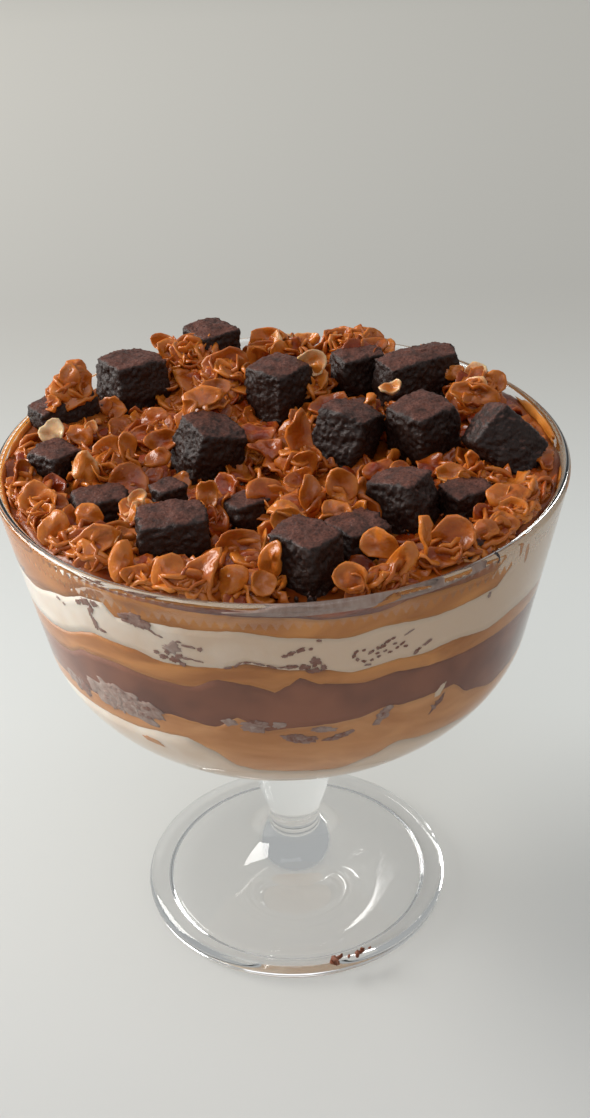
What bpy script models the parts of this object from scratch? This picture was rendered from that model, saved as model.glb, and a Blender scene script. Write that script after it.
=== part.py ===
"""A layered brownie trifle in its footed glass bowl, at real size, standing on z = 0 with the bowl's axis on Z.

From the bottom up it is one turned glass bowl with its stem and foot, six layers of cream, caramel and
chocolate that run right through the food, a heap of toffee flakes, and brownie cubes set into the heap.
Sizes below are in millimetres. Directions are degrees counterclockwise from +X, with -90 at the front.
"""

import math
import random

import bmesh
import bpy
from mathutils import Matrix, Vector, noise

MM = 0.001

# Glass bowl: the driving sizes.
RIM_RADIUS = 110.0
BOWL_HEIGHT = 217.5
FOOT_RADIUS = 66.5
WALL = 3.5
TURN_STEPS = 36

# The cup is half an ellipse up to where a straight wall leaves it towards the rim.
BELLY_HEIGHT = 157.0
BELLY_RADIUS = 98.0
BELLY_DEPTH = 63.5

# Stem and foot, as (radius, height) on the outside, from under the cup down to the foot's edge bead.
CUP_STEM_JOINT = (34.0, 97.4)
STEM_AND_FOOT = (
    CUP_STEM_JOINT,
    (23.0, 89.0),
    (18.6, 72.0),
    (15.0, 54.0),
    (10.9, 38.5),
    (13.5, 28.5),
    (21.0, 21.0),
    (36.0, 14.0),
    (52.0, 9.6),
    (59.0, 8.2),
)
BEAD_HEIGHT = 8.6
BEAD_RADIUS = 4.2
FOOT_RING_INNER = 57.0
FOOT_RECESS = 3.2

# What touches stays this far apart; against the glass the facets need a little more.
GAP = 0.3
FOOD_INSET = WALL + 2 * GAP

# Heights where the layers meet the wall, one for every 30 degrees from +X, counterclockwise.
CREAM_BOTTOM_TOP = (136, 140, 144, 142, 138, 134, 138, 145, 148, 133, 140, 134)
CARAMEL_LOWER_TOP = (152, 155, 158, 160, 157, 153, 149, 151, 159, 159, 161, 149)
CHOCOLATE_TOP = (172, 174, 177, 179, 176, 172, 167, 168, 176, 180, 177, 173)
CARAMEL_MIDDLE_TOP = (179, 182, 186, 188, 185, 181, 175, 178, 188, 187, 184, 180)
CREAM_UPPER_TOP = (196, 198, 201, 203, 200, 197, 194, 194, 203, 202, 200, 199)
CARAMEL_UPPER_TOP = (205, 207, 209, 210, 209, 209, 209, 209, 210, 210, 210, 207)
LAYER_RING_SHARES = (0.65,)
MIDDLE_SINK = 5.0

# Heap of toffee flakes: its height at the wall, its crown in the middle, and its unevenness.
HEAP_EDGE = 212.5
HEAP_CROWN = 219.0
HEAP_BUMP = 2.0
HEAP_BUMP_SPACING = 13.0
HEAP_RING_SHARES = (0.93, 0.82, 0.71, 0.59, 0.46, 0.32, 0.17)

# Brownie cubes: centre (x, y, z), size (length, width, height), lean about X and Y, and turn about Z.
BROWNIES = (
    ((-28, 88, 224), (17, 17, 14), (0, 0, 33)),
    ((-61, 62, 217.5), (22, 20, 24), (-5, 2, 35)),
    ((-87, 38, 219.5), (24, 14, 10), (0, -9, 34)),
    ((0, 49, 219), (19, 19, 23), (0, 0, 45)),
    ((-28, 4, 216.5), (20, 19, 22), (0, 16, 28)),
    ((33, 64, 220), (19, 13, 16), (0, 0, 25)),
    ((57, 54, 220.5), (31, 16, 20), (0, -2, 25)),
    ((26, 10, 217.5), (19, 19, 21), (-7, 13, 57)),
    ((55, 9, 220), (20, 20, 20), (0, -4, 38)),
    ((85, -5, 220), (24, 19, 18), (-34, 40, 17)),
    ((43, -43, 217), (17, 19, 20), (-8, -6, 52)),
    ((66, -41, 216), (15, 13, 11), (0, 0, 30)),
    ((-86, -4, 216), (14, 14, 14), (0, 0, 45)),
    ((-67, -34, 215), (19, 13, 10), (0, 0, 15)),
    ((-39, -62, 217), (23, 17, 19), (0, 0, 9)),
    ((-13, -43, 216), (14, 11, 10), (0, 0, 30)),
    ((-42, -34, 218), (10, 9, 9), (0, 0, 35)),
    ((7, -81, 218), (16, 19, 21), (0, 0, 47)),
    ((25, -66, 215), (18, 15, 15), (0, 4, 35)),
    ((34, 31, 217), (13, 8, 8), (0, 0, 20)),
    ((66, -69, 213), (11, 8, 7), (0, 0, 30)),
)
CORNER_ROUNDING = 0.07
CRUMB_UNEVENNESS = 0.45

# Surface finishes: linear colour, roughness.
GLASS = ("clear_glass", (0.95, 0.96, 0.95), 0.03)
CREAM = ("whipped_cream", (0.72, 0.60, 0.47), 0.45)
CARAMEL = ("soft_caramel", (0.45, 0.19, 0.06), 0.25)
CHOCOLATE = ("chocolate_mousse", (0.16, 0.07, 0.04), 0.45)
TOFFEE = ("toffee_glaze", (0.42, 0.12, 0.03), 0.2)
BROWNIE = ("baked_brownie", (0.025, 0.012, 0.009), 0.75)


def clear_scene():
    for item in list(bpy.data.objects):
        bpy.data.objects.remove(item, do_unlink=True)


def new_collection(name):
    collection = bpy.data.collections.new(name)
    bpy.context.scene.collection.children.link(collection)
    return collection


def finish(name, colour, roughness):
    """A Principled material, or the one already made under this name."""
    if name in bpy.data.materials:
        return bpy.data.materials[name]
    material = bpy.data.materials.new(name)
    material.use_nodes = True
    shader = material.node_tree.nodes["Principled BSDF"]
    shader.inputs["Base Color"].default_value = (*colour, 1.0)
    shader.inputs["Roughness"].default_value = roughness
    shader.inputs["Metallic"].default_value = 0.0
    if name == GLASS[0]:
        shader.inputs["Transmission Weight"].default_value = 1.0
        shader.inputs["IOR"].default_value = 1.5
    return material


def add_object(name, bm, material, collection):
    mesh = bpy.data.meshes.new(name)
    bm.to_mesh(mesh)
    bm.free()
    piece = bpy.data.objects.new(name, mesh)
    piece.data.materials.append(finish(*material))
    collection.objects.link(piece)
    return piece


def smooth_curve(points, per_span):
    """Points along a Catmull-Rom curve through the given (radius, height) pairs."""
    ends = [points[0], *points, points[-1]]
    path = []
    for before, start, end, after in zip(ends, ends[1:], ends[2:], ends[3:]):
        for step in range(per_span):
            t = step / per_span
            pair = []
            for a, b, c, d in zip(before, start, end, after):
                bend = (2 * a - 5 * b + 4 * c - d) * t * t + (3 * b - a - 3 * c + d) * t**3
                pair.append(0.5 * (2 * b + (c - a) * t + bend))
            path.append(tuple(pair))
    path.append(points[-1])
    return path


def cup_shape(inset):
    """Radius and depth of the belly's ellipse, the rim's radius, and the angle where the straight wall leaves."""
    radius = BELLY_RADIUS - inset
    depth = BELLY_DEPTH - inset
    rim = RIM_RADIUS - inset
    across = rim / radius
    up = (BOWL_HEIGHT - BELLY_HEIGHT) / depth
    leave = math.atan2(up, across) - math.acos(1.0 / math.hypot(across, up))
    return radius, depth, rim, leave


def wall_radius(height, inset):
    """Radius of the cup at a height, inset from its outside."""
    radius, depth, rim, leave = cup_shape(inset)
    leave_height = BELLY_HEIGHT + depth * math.sin(leave)
    if height <= leave_height:
        drop = (BELLY_HEIGHT - height) / depth
        return radius * math.sqrt(max(0.0, 1.0 - drop * drop))
    share = (height - leave_height) / (BOWL_HEIGHT - leave_height)
    leave_radius = radius * math.cos(leave)
    return leave_radius + (rim - leave_radius) * share


def cup_arc(inset, first_angle, steps):
    """Points on the cup's ellipse from an angle to where the straight wall leaves it."""
    radius, depth, _, leave = cup_shape(inset)
    points = []
    for step in range(steps + 1):
        angle = first_angle + (leave - first_angle) * step / steps
        points.append((radius * math.cos(angle), BELLY_HEIGHT + depth * math.sin(angle)))
    return points


def arc(centre, radius, start, stop, steps):
    points = []
    for step in range(steps + 1):
        angle = math.radians(start + (stop - start) * step / steps)
        points.append((centre[0] + radius * math.cos(angle), centre[1] + radius * math.sin(angle)))
    return points


def glass_bowl(collection):
    """The glass is one turned profile: inside of the cup, lip, outside of the cup, stem, foot and its underside."""
    lip_radius = WALL / 2
    lip_centre = (RIM_RADIUS - lip_radius, BOWL_HEIGHT - lip_radius)
    inside = cup_arc(WALL, math.radians(-90), 14)
    lip = arc(lip_centre, lip_radius, 170, -10, 4)
    joint_angle = -math.acos(CUP_STEM_JOINT[0] / BELLY_RADIUS)
    outside = cup_arc(0.0, joint_angle, 5)[::-1][:-1]
    stem = smooth_curve(STEM_AND_FOOT, 2)
    bead_centre = (FOOT_RADIUS - BEAD_RADIUS, BEAD_HEIGHT - BEAD_RADIUS)
    bead = arc(bead_centre, BEAD_RADIUS, 90, -60, 4)
    underside = (
        (FOOT_RADIUS - BEAD_RADIUS, 0.0),
        (FOOT_RING_INNER, 0.0),
        (FOOT_RING_INNER - FOOT_RECESS, FOOT_RECESS),
        (0.0, FOOT_RECESS),
    )
    bm = bmesh.new()
    last = None
    for radius, height in (*inside, *lip, *outside, *stem, *bead, *underside):
        vertex = bm.verts.new((radius * MM, 0.0, height * MM))
        if last is not None:
            bm.edges.new((last, vertex))
        last = vertex
    bowl = add_object("glass_bowl", bm, GLASS, collection)
    turn = bowl.modifiers.new("turn", "SCREW")
    turn.axis = "Z"
    turn.angle = math.radians(360)
    turn.steps = TURN_STEPS
    turn.render_steps = TURN_STEPS
    turn.use_merge_vertices = True
    turn.merge_threshold = 0.00001
    return bowl


def around(heights, angle):
    """Height at an angle, eased from one listed direction to the next."""
    place = (math.degrees(angle) % 360.0) * len(heights) / 360.0
    index = int(place) % len(heights)
    share = place - int(place)
    ease = share * share * (3.0 - 2.0 * share)
    return heights[index] + (heights[(index + 1) % len(heights)] - heights[index]) * ease


def level(heights, angle, share):
    """Height of a layer's surface at a share of the way out: as listed at the wall, flatter and lower inside."""
    mean = sum(heights) / len(heights) - MIDDLE_SINK
    weight = share * share
    return mean + (around(heights, angle) - mean) * weight


def turned_piece(name, rings, material, collection):
    """A closed solid spun from rings, where each ring gives (radius, height) at an angle."""
    bm = bmesh.new()
    edges = []
    last = None
    for index, (share, _) in enumerate(rings):
        vertex = bm.verts.new((share, 0.0, float(index)))
        if last is not None:
            edges.append(bm.edges.new((last, vertex)))
        last = vertex
    bmesh.ops.spin(
        bm,
        geom=bm.verts[:] + edges,
        cent=(0, 0, 0),
        axis=(0, 0, 1),
        angle=math.radians(360),
        steps=TURN_STEPS,
        use_merge=True,
    )
    bmesh.ops.remove_doubles(bm, verts=bm.verts[:], dist=0.0001)
    for vertex in bm.verts:
        angle = math.atan2(vertex.co.y, vertex.co.x)
        radius, height = rings[round(vertex.co.z)][1](angle)
        if rings[round(vertex.co.z)][0] == 0.0:
            radius = 0.0
        vertex.co = Vector((radius * math.cos(angle), radius * math.sin(angle), height)) * MM
    bmesh.ops.triangulate(bm, faces=bm.faces[:], quad_method="SHORT_EDGE")
    if bm.calc_volume(signed=True) < 0.0:
        bmesh.ops.reverse_faces(bm, faces=bm.faces[:])
    return add_object(name, bm, material, collection)


def surface_ring(heights, share, lift):
    """A ring of a layer's lower or upper surface, at a share of the way out to the wall."""

    def place(angle):
        height = level(heights, angle, share) + lift
        return share * wall_radius(height, FOOD_INSET), height

    return share, place


def wall_ring(below, above, share):
    """A ring against the glass, at a share of the way up from one layer's surface to the next."""

    def place(angle):
        low = around(below, angle) + GAP / 2
        high = around(above, angle) - GAP / 2
        height = low + (high - low) * share
        return wall_radius(height, FOOD_INSET), height

    return 1.0, place


def bowl_floor_ring(above, share):
    """A ring of the lowest layer's underside, which follows the bowl's curved bottom."""
    radius, depth, _, _ = cup_shape(FOOD_INSET)

    def place(angle):
        top = around(above, angle) - GAP / 2
        sweep = math.acos((BELLY_HEIGHT - top) / depth) * share
        return radius * math.sin(sweep), BELLY_HEIGHT - depth * math.cos(sweep)

    return share, place


def food_layer(name, below, above, wall_steps, material, collection):
    """One layer between two wavy surfaces, closed against the glass all round."""
    inward = (0.0, *LAYER_RING_SHARES)
    rings = [surface_ring(below, share, GAP / 2) for share in inward]
    rings += [wall_ring(below, above, step / wall_steps) for step in range(wall_steps + 1)]
    rings += [surface_ring(above, share, -GAP / 2) for share in reversed(inward)]
    return turned_piece(name, rings, material, collection)


def bottom_layer(name, above, steps, material, collection):
    rings = [bowl_floor_ring(above, step / steps) for step in range(steps + 1)]
    rings += [surface_ring(above, share, -GAP / 2) for share in reversed((0.0, *LAYER_RING_SHARES))]
    return turned_piece(name, rings, material, collection)


def heap_top_ring(share):
    """A ring of the heap's uneven top, which falls from the crown to the wall."""

    def place(angle):
        radius = share * wall_radius(HEAP_EDGE, FOOD_INSET)
        height = HEAP_EDGE + (HEAP_CROWN - HEAP_EDGE) * (1.0 - share * share)
        spot = Vector((math.cos(angle), math.sin(angle), 0.0)) * (radius / HEAP_BUMP_SPACING)
        return radius, height + HEAP_BUMP * 2.0 * noise.noise(spot)

    return share, place


def heap_wall_ring(angle):
    height = HEAP_EDGE + HEAP_BUMP * 0.4 * math.sin(7.0 * angle)
    return wall_radius(height, FOOD_INSET), height


def cut_sockets(piece, cutters):
    """Leaves room for the brownie cubes that are pressed into a piece."""
    sockets = piece.modifiers.new("sockets", "BOOLEAN")
    sockets.operation = "DIFFERENCE"
    sockets.solver = "EXACT"
    sockets.operand_type = "COLLECTION"
    sockets.collection = cutters


def flake_heap(collection, cutters):
    """The heap out to its uneven outline, with a socket round every brownie cube."""
    inward = (0.0, *LAYER_RING_SHARES)
    rings = [surface_ring(CARAMEL_UPPER_TOP, share, GAP / 2) for share in (*inward, 1.0)]
    rings.append((1.0, heap_wall_ring))
    rings += [heap_top_ring(share) for share in (*HEAP_RING_SHARES, 0.0)]
    heap = turned_piece("toffee_flake_heap", rings, TOFFEE, collection)
    cut_sockets(heap, cutters)


def brownie_block(size, margin, seed):
    """A hand-cut cube of brownie: softened corners and edges, uneven faces, grown by a margin all round."""
    draw = random.Random(seed)
    bm = bmesh.new()
    bmesh.ops.create_cube(bm, size=2.0)
    bmesh.ops.subdivide_edges(bm, edges=bm.edges[:], cuts=1, use_grid_fill=True)
    bmesh.ops.triangulate(bm, faces=bm.faces[:], quad_method="FIXED")
    for vertex in bm.verts:
        reach = sum(abs(part) for part in vertex.co)
        pull = 1.0 - CORNER_ROUNDING * max(0.0, reach - 1.0)
        half = Vector((size[0] / 2, size[1] / 2, size[2] / 2))
        jitter = Vector([draw.uniform(-CRUMB_UNEVENNESS, CRUMB_UNEVENNESS) for _ in range(3)])
        outward = Vector([part * margin for part in vertex.co])
        vertex.co = (Vector([a * b * pull for a, b in zip(vertex.co, half)]) + jitter + outward) * MM
    return bm


def place_brownie(piece, centre, turns):
    lean_x, lean_y, turn = (math.radians(angle) for angle in turns)
    leaning = Matrix.Rotation(lean_x, 4, "X") @ Matrix.Rotation(lean_y, 4, "Y")
    piece.matrix_world = Matrix.Translation(Vector(centre) * MM) @ leaning @ Matrix.Rotation(turn, 4, "Z")


def brownies(collection, cutters):
    for number, (centre, size, turns) in enumerate(BROWNIES, start=1):
        cube = add_object(f"brownie_{number:02d}", brownie_block(size, 0.0, number), BROWNIE, collection)
        place_brownie(cube, centre, turns)
        socket = add_object(f"socket_{number:02d}", brownie_block(size, GAP * 1.2, number), BROWNIE, cutters)
        place_brownie(socket, centre, turns)
        socket.hide_render = True
        socket.display_type = "WIRE"


clear_scene()
trifle = new_collection("brownie_trifle")
socket_cutters = new_collection("socket_cutters")
glass_bowl(trifle)
bottom_layer("cream_bottom", CREAM_BOTTOM_TOP, 7, CREAM, trifle)
food_layer("caramel_lower", CREAM_BOTTOM_TOP, CARAMEL_LOWER_TOP, 3, CARAMEL, trifle)
food_layer("chocolate_layer", CARAMEL_LOWER_TOP, CHOCOLATE_TOP, 2, CHOCOLATE, trifle)
food_layer("caramel_middle", CHOCOLATE_TOP, CARAMEL_MIDDLE_TOP, 1, CARAMEL, trifle)
food_layer("cream_upper", CARAMEL_MIDDLE_TOP, CREAM_UPPER_TOP, 1, CREAM, trifle)
caramel_top = food_layer("caramel_upper", CREAM_UPPER_TOP, CARAMEL_UPPER_TOP, 1, CARAMEL, trifle)
brownies(trifle, socket_cutters)
cut_sockets(caramel_top, socket_cutters)
flake_heap(trifle, socket_cutters)
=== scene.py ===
"""Brownie and caramel trifle in its footed glass bowl, as it looks.

It is put together from the glass up: bowl, six layers of filling, what shows of the filling at the wall,
the heap of toffee flakes, the brownie cubes, and at last the table, the light and the camera.
Lengths are in millimetres unless a name says otherwise, and directions are degrees counterclockwise
from +X, so that -90 is the front.
"""

import math
import random

import bmesh
import bpy
from mathutils import Euler, Matrix, Vector, noise
from mathutils.bvhtree import BVHTree


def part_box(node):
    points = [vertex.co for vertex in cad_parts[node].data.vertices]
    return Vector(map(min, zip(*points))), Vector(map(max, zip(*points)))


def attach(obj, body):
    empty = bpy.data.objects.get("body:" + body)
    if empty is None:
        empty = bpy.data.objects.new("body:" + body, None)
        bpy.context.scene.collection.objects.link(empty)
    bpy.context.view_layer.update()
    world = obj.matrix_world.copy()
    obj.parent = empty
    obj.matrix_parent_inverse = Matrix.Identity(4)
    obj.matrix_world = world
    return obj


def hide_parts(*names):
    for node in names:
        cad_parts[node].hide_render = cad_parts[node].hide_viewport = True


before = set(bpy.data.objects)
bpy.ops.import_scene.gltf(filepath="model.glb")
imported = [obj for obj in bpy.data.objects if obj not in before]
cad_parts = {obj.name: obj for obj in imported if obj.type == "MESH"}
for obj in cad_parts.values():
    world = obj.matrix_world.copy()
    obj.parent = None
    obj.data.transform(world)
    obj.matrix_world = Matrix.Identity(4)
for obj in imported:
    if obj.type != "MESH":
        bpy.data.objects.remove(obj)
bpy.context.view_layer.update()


# ---------------------------------------------------------------------------------------------------
# Footed bowl. One piece of pressed soda-lime glass: cup, stem and foot are moulded together and then
# fire-polished, so that the lip and the bead round the foot are soft and the walls stay slightly wavy.
# ---------------------------------------------------------------------------------------------------

MM = 0.001
glass_low, glass_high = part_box("glass_bowl")
RIM_RADIUS = glass_high.x / MM
BOWL_HEIGHT = glass_high.z / MM
WALL = 3.5
BELLY_HEIGHT = 157.0
BELLY_RADIUS = 98.0
BELLY_DEPTH = 63.5
STEM_JOINT = (34.0, 97.4)
STEM_AND_FOOT = (
    STEM_JOINT, (23.0, 89.0), (18.6, 72.0), (15.0, 54.0), (10.9, 38.5), (13.5, 28.5), (21.0, 21.0),
    (36.0, 14.0), (52.0, 9.6), (59.0, 8.2),
)
FOOT_RADIUS = 66.5
BEAD_HEIGHT = 8.6
BEAD_RADIUS = 4.2
FOOT_RING_INNER = 57.0
FOOT_RECESS = 3.2
TRAPPED_BOUNCES = 5.0
BOWL_STEPS = 180


def cup_shape(inset):
    """Belly radius and depth and rim radius, inset from the outside, and the angle where the wall leaves."""
    radius, depth, rim = BELLY_RADIUS - inset, BELLY_DEPTH - inset, RIM_RADIUS - inset
    across, up = rim / radius, (BOWL_HEIGHT - BELLY_HEIGHT) / depth
    leave = math.atan2(up, across) - math.acos(1.0 / math.hypot(across, up))
    return radius, depth, rim, leave


def wall_radius(height, inset):
    """Radius of the cup at a height."""
    radius, depth, rim, leave = cup_shape(inset)
    leave_height = BELLY_HEIGHT + depth * math.sin(leave)
    if height <= leave_height:
        drop = (BELLY_HEIGHT - height) / depth
        return radius * math.sqrt(max(0.0, 1.0 - drop * drop))
    share = (height - leave_height) / (BOWL_HEIGHT - leave_height)
    leave_radius = radius * math.cos(leave)
    return leave_radius + (rim - leave_radius) * share


def cup_arc(inset, first_angle, steps):
    radius, depth, _, leave = cup_shape(inset)
    points = []
    for step in range(steps + 1):
        angle = first_angle + (leave - first_angle) * step / steps
        points.append((radius * math.cos(angle), BELLY_HEIGHT + depth * math.sin(angle)))
    return points


def arc(centre, radius, start, stop, steps):
    points = []
    for step in range(steps + 1):
        angle = math.radians(start + (stop - start) * step / steps)
        points.append((centre[0] + radius * math.cos(angle), centre[1] + radius * math.sin(angle)))
    return points


def smooth_curve(points, per_span):
    """Points along a Catmull-Rom curve through the given pairs."""
    ends = [points[0], *points, points[-1]]
    path = []
    for before, start, end, after in zip(ends, ends[1:], ends[2:], ends[3:]):
        for step in range(per_span):
            t = step / per_span
            pair = []
            for a, b, c, d in zip(before, start, end, after):
                bend = (2 * a - 5 * b + 4 * c - d) * t * t + (3 * b - a - 3 * c + d) * t**3
                pair.append(0.5 * (2 * b + (c - a) * t + bend))
            path.append(tuple(pair))
    path.append(points[-1])
    return path


def add_piece(name, bm, material, slot, *nodes):
    """Puts a finished mesh in the scene, shaded smooth, riding on the bowl and standing for its CAD nodes."""
    mesh = bpy.data.meshes.new(name)
    bm.to_mesh(mesh)
    bm.free()
    mesh.polygons.foreach_set("use_smooth", [True] * len(mesh.polygons))
    mesh.materials.append(material)
    piece = bpy.data.objects.new(name, mesh)
    bpy.context.scene.collection.objects.link(piece)
    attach(piece, "root")
    if nodes:
        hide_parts(*nodes)


def quads_between(low, high, steps):
    """Corners of each face between two rows, either of which may be a single pole."""
    for step in range(steps):
        after = (step + 1) % steps
        corners = (low[step % len(low)], low[after % len(low)],
                   high[after % len(high)], high[step % len(high)])
        yield tuple(dict.fromkeys(corners))


def turned(rings, steps):
    """A closed skin, pole to pole, through rings that each map an angle to a radius and a height."""
    bm = bmesh.new()
    rows = []
    for ring in rings:
        if ring(0.0)[0] < 0.01:
            rows.append([bm.verts.new((0.0, 0.0, ring(0.0)[1] * MM))])
            continue
        row = []
        for step in range(steps):
            angle = math.tau * step / steps
            radius, height = ring(angle)
            place = Vector((radius * math.cos(angle), radius * math.sin(angle), height)) * MM
            row.append(bm.verts.new(place))
        rows.append(row)
    for low, high in zip(rows, rows[1:]):
        for corners in quads_between(low, high, steps):
            if len(corners) > 2:
                bm.faces.new(corners)
    if bm.calc_volume(signed=True) < 0.0:
        bmesh.ops.reverse_faces(bm, faces=bm.faces[:])
    return bm


def linear(code):
    """A linear colour from an sRGB hex value."""
    parts = [int(code[i:i + 2], 16) / 255 for i in (1, 3, 5)]
    return tuple(p / 12.92 if p <= 0.04045 else ((p + 0.055) / 1.055) ** 2.4 for p in parts) + (1.0,)


def add_node(tree, kind, settings=None, **links):
    """One node. Settings are its own properties; links are input values or sockets, with _ for a space."""
    node = tree.nodes.new(kind)
    for name, value in (settings or {}).items():
        setattr(node, name, value)
    for name, value in links.items():
        key = int(name[1:]) if name[0] == "i" and name[1:].isdigit() else name.replace("_", " ")
        socket = node.inputs[key]
        if isinstance(value, bpy.types.NodeSocket):
            tree.links.new(value, socket)
        else:
            socket.default_value = value
    return node


def new_material(name):
    """An empty material and its node tree."""
    material = bpy.data.materials.new(name)
    material.use_nodes = True
    material.node_tree.nodes.clear()
    return material, material.node_tree


def pressed_glass():
    """Soda-lime glass, pressed and fire-polished: clear, with slow waves that pull the reflections about.

    Lamps and the bounced light pass straight through it, a little dimmed where it is met edge-on, so that
    the food inside and the table under the foot are lit as through real glass. Light that keeps turning
    inside the bead is let out straight, or the bead would go black.
    """
    material, tree = new_material("pressed_soda_lime_glass")
    places = add_node(tree, "ShaderNodeTexCoord").outputs["Object"]
    waves = add_node(tree, "ShaderNodeTexNoise", Vector=places, Scale=1 / (24 * MM),
                     Detail=1.0).outputs["Fac"]
    bump = add_node(tree, "ShaderNodeBump", Strength=0.25, Distance=0.4 * MM, Height=waves)
    smudge = add_node(tree, "ShaderNodeTexNoise", Vector=places, Scale=1 / (9 * MM),
                      Detail=3.0).outputs["Fac"]
    polish = add_node(tree, "ShaderNodeMapRange", Value=smudge, From_Min=0.5, From_Max=0.8,
                      To_Max=0.05).outputs[0]
    shader = add_node(tree, "ShaderNodeBsdfPrincipled", Base_Color=linear("#fdfdfd"), Transmission_Weight=1.0,
                      IOR=1.47, Roughness=polish, Normal=bump.outputs[0])
    edge = add_node(tree, "ShaderNodeLayerWeight", Blend=0.35).outputs["Facing"]
    dim = add_node(tree, "ShaderNodeMix", {"data_type": "RGBA"}, i0=edge, i6=linear("#fdfdfd"),
                   i7=linear("#dedede"))
    clear = add_node(tree, "ShaderNodeBsdfTransparent", Color=dim.outputs[2]).outputs[0]
    path = add_node(tree, "ShaderNodeLightPath").outputs
    bounced = add_node(tree, "ShaderNodeMixShader", i0=path["Is Diffuse Ray"], i1=shader.outputs[0], i2=clear)
    shaded = add_node(tree, "ShaderNodeMixShader", i0=path["Is Shadow Ray"], i1=bounced.outputs[0], i2=clear)
    trapped = add_node(tree, "ShaderNodeMath", {"operation": "GREATER_THAN"}, i0=path["Ray Depth"],
                       i1=TRAPPED_BOUNCES).outputs[0]
    lit = add_node(tree, "ShaderNodeMixShader", i0=trapped, i1=shaded.outputs[0], i2=clear)
    add_node(tree, "ShaderNodeOutputMaterial", Surface=lit.outputs[0])
    return material


def fixed_ring(radius, height):
    return lambda angle: (radius, height)


lip_radius = WALL / 2
lip_centre = (RIM_RADIUS - lip_radius, BOWL_HEIGHT - lip_radius)
joint_angle = -math.acos(STEM_JOINT[0] / BELLY_RADIUS)
bead_centre = (FOOT_RADIUS - BEAD_RADIUS, BEAD_HEIGHT - BEAD_RADIUS)
bowl_profile = (
    cup_arc(WALL, math.radians(-90), 48)
    + arc(lip_centre, lip_radius, 170, -10, 12)
    + cup_arc(0.0, joint_angle, 36)[::-1][:-1]
    + smooth_curve(STEM_AND_FOOT, 8)
    + arc(bead_centre, BEAD_RADIUS, 90, -90, 16)
    + [(FOOT_RING_INNER + 0.5, 0.0)]
    + arc((FOOT_RING_INNER - FOOT_RECESS, 0.0), FOOT_RECESS, 0, 90, 6)
    + [(30.0, FOOT_RECESS), (0.0, FOOT_RECESS)]
)
bowl_rings = [fixed_ring(radius, height) for radius, height in bowl_profile]
add_piece("bowl", turned(bowl_rings, BOWL_STEPS), pressed_glass(), "clear_glass", "glass_bowl")


# ---------------------------------------------------------------------------------------------------
# Filling. Six layers spooned in and levelled by hand: whipped cream, caramel, chocolate mousse, caramel,
# cream and caramel. Each one presses a hair into the glass, so no air shows between them and the wall.
# ---------------------------------------------------------------------------------------------------

PRESSED_IN = WALL - 0.25
WALL_STEPS = 360

# Where each layer ends at the wall, as (direction, height).
BOTTOM_CREAM_TOP = (
    (-170, 143), (-150, 146), (-126, 146.8), (-120, 148.3), (-113, 149), (-108, 145), (-102, 136.4),
    (-98, 134.3), (-91, 133.7), (-79, 132.5), (-72, 137.1), (-66, 142.2), (-58, 139.6), (-51, 138.5),
    (-35, 134), (0, 137), (30, 141), (60, 144), (95, 141), (130, 137), (160, 139),
)
LOWER_CARAMEL_TOP = (
    (-165, 150), (-138, 153.8), (-125, 157), (-116, 159.5), (-106, 157.3), (-101, 163.2), (-95, 157.1),
    (-90, 158.6), (-82, 159.1), (-76, 159.9), (-70, 162.8), (-66, 161.5), (-59, 161.4), (-53, 161.1),
    (-48, 153.3), (-38, 147.5), (-25, 149), (0, 152), (35, 156), (62, 160), (100, 158), (130, 154),
    (165, 149),
)
MOUSSE_TOP = (
    (-165, 166), (-149, 168), (-143, 169.8), (-137, 175.9), (-127, 177.9), (-118, 176.3), (-110, 176),
    (-104, 181.5), (-98, 180), (-95.5, 178.6), (-93, 176.3), (-90.5, 179.5), (-88, 183.2), (-84, 179.5),
    (-75, 177.2), (-69, 178.9), (-60, 176.8), (-52, 175.8), (-40, 175.2), (-20, 173), (5, 172), (40, 175),
    (70, 178), (110, 176), (150, 170),
)
MIDDLE_CARAMEL_TOP = (
    (-165, 177), (-155, 177.4), (-148, 178.6), (-143, 180.2), (-131, 188.8), (-121, 188.5), (-115, 185.8),
    (-109, 186.5), (-103, 187.3), (-98, 190.2), (-90, 187.3), (-83, 186.1), (-78, 183.3), (-69, 185.1),
    (-63, 184), (-56, 184.9), (-45, 181.3), (-38, 182.3), (-20, 180), (5, 179), (40, 184), (75, 188),
    (115, 184), (150, 179),
)
UPPER_CREAM_TOP = (
    (-165, 192), (-151, 193.2), (-138, 200.3), (-131, 205.7), (-126, 206.6), (-124, 201.7), (-114, 203.9),
    (-108, 203.9), (-99, 205), (-90, 202.3), (-79, 199.9), (-72, 202.2), (-60, 200.4), (-46, 201), (-43, 206),
    (-40, 210.5), (-25, 212), (-5, 211), (8, 203), (30, 198), (70, 203), (110, 201), (150, 195),
)
UPPER_CARAMEL_TOP = (
    (-165, 213), (-140, 213.5), (-120, 213), (-105, 212), (-90, 211.4), (-83, 209.2), (-74, 209.1),
    (-66, 212), (-46, 209.5), (-38, 212), (-20, 214), (0, 214), (30, 213), (60, 212), (90, 213), (120, 213),
    (150, 214), (180, 215),
)
EDGE_WAVES = 0.35
FAR_WAVES = 3.0
INNER_SHARES = (0.9, 0.6)
MIDDLE_SINK = 8.0


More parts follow.
